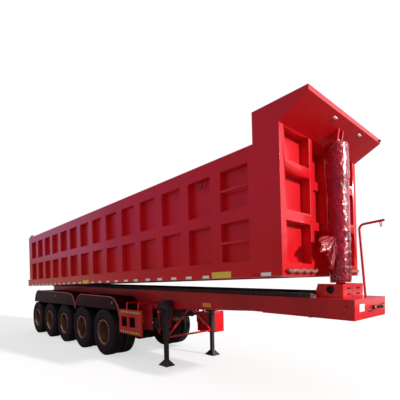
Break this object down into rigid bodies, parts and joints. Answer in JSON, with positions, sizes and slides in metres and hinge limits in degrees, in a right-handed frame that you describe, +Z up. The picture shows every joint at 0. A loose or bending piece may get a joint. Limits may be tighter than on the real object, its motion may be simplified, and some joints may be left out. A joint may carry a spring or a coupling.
{
  "type": "dump semi-trailer",
  "caption": "Long ribbed dump bed on a gooseneck frame with twin-wheeled axles, raised about a rear hinge by a telescopic front cylinder, parked on landing legs.",
  "frame": {"origin": "on the ground under the middle of the whole trailer's box", "axes": "+X forward to the coupling, +Y to the trailer's left, +Z up"},
  "size_m": [12.8731, 2.49, 4.2904],
  "materials": {
    "red_paint": "glossy red paint",
    "black_paint": "black paint",
    "tyre": "black tyre",
    "rim_paint": "bronze paint",
    "strip_rubber": "black rubber",
    "film": "crinkled clear film over red paint",
    "rod_chrome": "hard chrome",
    "pin_steel": "machined steel",
    "lamp": "red lens"
  },
  "bodies": {
    "chassis": {"air_tanks": "black_paint", "axles": "black_paint", "cross_members": "red_paint", "cushion_strips": "strip_rubber", "fenders": "red_paint", "hinge_brackets": "red_paint", "hose_stand": "red_paint", "king_pin": "pin_steel", "landing_braces": "red_paint", "landing_legs": "black_paint", "landing_shaft": "black_paint", "leaf_springs": "black_paint", "lift_seat": "red_paint", "main_beams": "red_paint", "neck_plates": "red_paint", "rear_guard": "red_paint", "side_guards": "red_paint", "spring_hangers": "red_paint", "tail_lamps": "lamp", "toolbox": "red_paint"},
    "bed": {"bed_bearers": "red_paint", "bed_floor": "red_paint", "bed_front_wall": "red_paint", "bed_side_left": "red_paint", "bed_side_right": "red_paint", "bed_sills": "red_paint", "gate_hinges": "red_paint", "hood": "red_paint", "lift_hook": "red_paint"},
    "tailgate": {"tailgate": "red_paint"},
    "toolbox_door": {"toolbox_door": "red_paint"},
    "lift_barrel": {"lift_barrel": "red_paint", "lift_film": "film"},
    "lift_stage_1": {"lift_stage_1": "rod_chrome"},
    "lift_stage_2": {"lift_stage_2": "rod_chrome"},
    "lift_stage_3": {"lift_stage_3": "rod_chrome"},
    "lift_stage_4": {"lift_stage_4": "rod_chrome"},
    "lift_stage_5": {"lift_stage_5": "rod_chrome", "lift_film_top": "film"},
    "wheels_right_1": {"tyres_right_1": "tyre", "rims_right_1": "rim_paint"},
    "wheels_right_2": {"tyres_right_2": "tyre", "rims_right_2": "rim_paint"},
    "wheels_right_3": {"tyres_right_3": "tyre", "rims_right_3": "rim_paint"},
    "wheels_right_4": {"tyres_right_4": "tyre", "rims_right_4": "rim_paint"},
    "wheels_right_5": {"tyres_right_5": "tyre", "rims_right_5": "rim_paint"},
    "wheels_left_1": {"tyres_left_1": "tyre", "rims_left_1": "rim_paint"},
    "wheels_left_2": {"tyres_left_2": "tyre", "rims_left_2": "rim_paint"},
    "wheels_left_3": {"tyres_left_3": "tyre", "rims_left_3": "rim_paint"},
    "wheels_left_4": {"tyres_left_4": "tyre", "rims_left_4": "rim_paint"},
    "wheels_left_5": {"tyres_left_5": "tyre", "rims_left_5": "rim_paint"}
  },
  "joints": [
    {"name": "bed_tilt", "type": "hinge", "parent": "chassis", "child": "bed", "pos_m": [-5.50448, 0, 1.826], "axis": [0, -1, 0], "range_deg": [-1.3, 41]},
    {"name": "tailgate_swing", "type": "hinge", "parent": "bed", "child": "tailgate", "pos_m": [-6.1315, 0, 3.7746], "axis": [0, 1, 0], "range_deg": [0, 65]},
    {"name": "toolbox_lid", "type": "hinge", "parent": "chassis", "child": "toolbox_door", "pos_m": [1.58553, 1.171, 1.06], "axis": [1, 0, 0], "range_deg": [0, 85]},
    {"name": "barrel_lean", "type": "hinge", "parent": "chassis", "child": "lift_barrel", "pos_m": [5.80553, 0, 1.715], "axis": [0, -1, 0], "range_deg": [-0.96, 24.06]},
    {"name": "stage_1_slide", "type": "slide", "parent": "lift_barrel", "child": "lift_stage_1", "axis": [-0.0168, 0, 0.9999], "range_m": [-0.0514, 1.5603]},
    {"name": "stage_2_slide", "type": "slide", "parent": "lift_stage_1", "child": "lift_stage_2", "axis": [-0.0168, 0, 0.9999], "range_m": [-0.0514, 1.5603]},
    {"name": "stage_3_slide", "type": "slide", "parent": "lift_stage_2", "child": "lift_stage_3", "axis": [-0.0168, 0, 0.9999], "range_m": [-0.0514, 1.5603]},
    {"name": "stage_4_slide", "type": "slide", "parent": "lift_stage_3", "child": "lift_stage_4", "axis": [-0.0168, 0, 0.9999], "range_m": [-0.0514, 1.5603]},
    {"name": "stage_5_slide", "type": "slide", "parent": "lift_stage_4", "child": "lift_stage_5", "axis": [-0.0168, 0, 0.9999], "range_m": [-0.0514, 1.5603]},
    {"name": "wheels_right_1_spin", "type": "hinge", "parent": "chassis", "child": "wheels_right_1", "pos_m": [-5.33247, -0.925, 0.598], "axis": [0, 1, 0], "continuous": true},
    {"name": "wheels_right_2_spin", "type": "hinge", "parent": "chassis", "child": "wheels_right_2", "pos_m": [-3.94948, -0.925, 0.598], "axis": [0, 1, 0], "continuous": true},
    {"name": "wheels_right_3_spin", "type": "hinge", "parent": "chassis", "child": "wheels_right_3", "pos_m": [-2.56648, -0.925, 0.598], "axis": [0, 1, 0], "continuous": true},
    {"name": "wheels_right_4_spin", "type": "hinge", "parent": "chassis", "child": "wheels_right_4", "pos_m": [-1.18348, -0.925, 0.598], "axis": [0, 1, 0], "continuous": true},
    {"name": "wheels_right_5_spin", "type": "hinge", "parent": "chassis", "child": "wheels_right_5", "pos_m": [0.19953, -0.925, 0.598], "axis": [0, 1, 0], "continuous": true},
    {"name": "wheels_left_1_spin", "type": "hinge", "parent": "chassis", "child": "wheels_left_1", "pos_m": [-5.33247, 0.925, 0.598], "axis": [0, 1, 0], "continuous": true},
    {"name": "wheels_left_2_spin", "type": "hinge", "parent": "chassis", "child": "wheels_left_2", "pos_m": [-3.94948, 0.925, 0.598], "axis": [0, 1, 0], "continuous": true},
    {"name": "wheels_left_3_spin", "type": "hinge", "parent": "chassis", "child": "wheels_left_3", "pos_m": [-2.56648, 0.925, 0.598], "axis": [0, 1, 0], "continuous": true},
    {"name": "wheels_left_4_spin", "type": "hinge", "parent": "chassis", "child": "wheels_left_4", "pos_m": [-1.18348, 0.925, 0.598], "axis": [0, 1, 0], "continuous": true},
    {"name": "wheels_left_5_spin", "type": "hinge", "parent": "chassis", "child": "wheels_left_5", "pos_m": [0.19953, 0.925, 0.598], "axis": [0, 1, 0], "continuous": true}
  ],
  "couplings": [
    {"joint": "barrel_lean", "follows": "bed_tilt", "ratio": 0.58194},
    {"joint": "stage_1_slide", "follows": "bed_tilt", "m_per_rad": 2.1777},
    {"joint": "stage_2_slide", "follows": "bed_tilt", "m_per_rad": 2.1777},
    {"joint": "stage_3_slide", "follows": "bed_tilt", "m_per_rad": 2.1777},
    {"joint": "stage_4_slide", "follows": "bed_tilt", "m_per_rad": 2.1777},
    {"joint": "stage_5_slide", "follows": "bed_tilt", "m_per_rad": 2.1777}
  ]
}
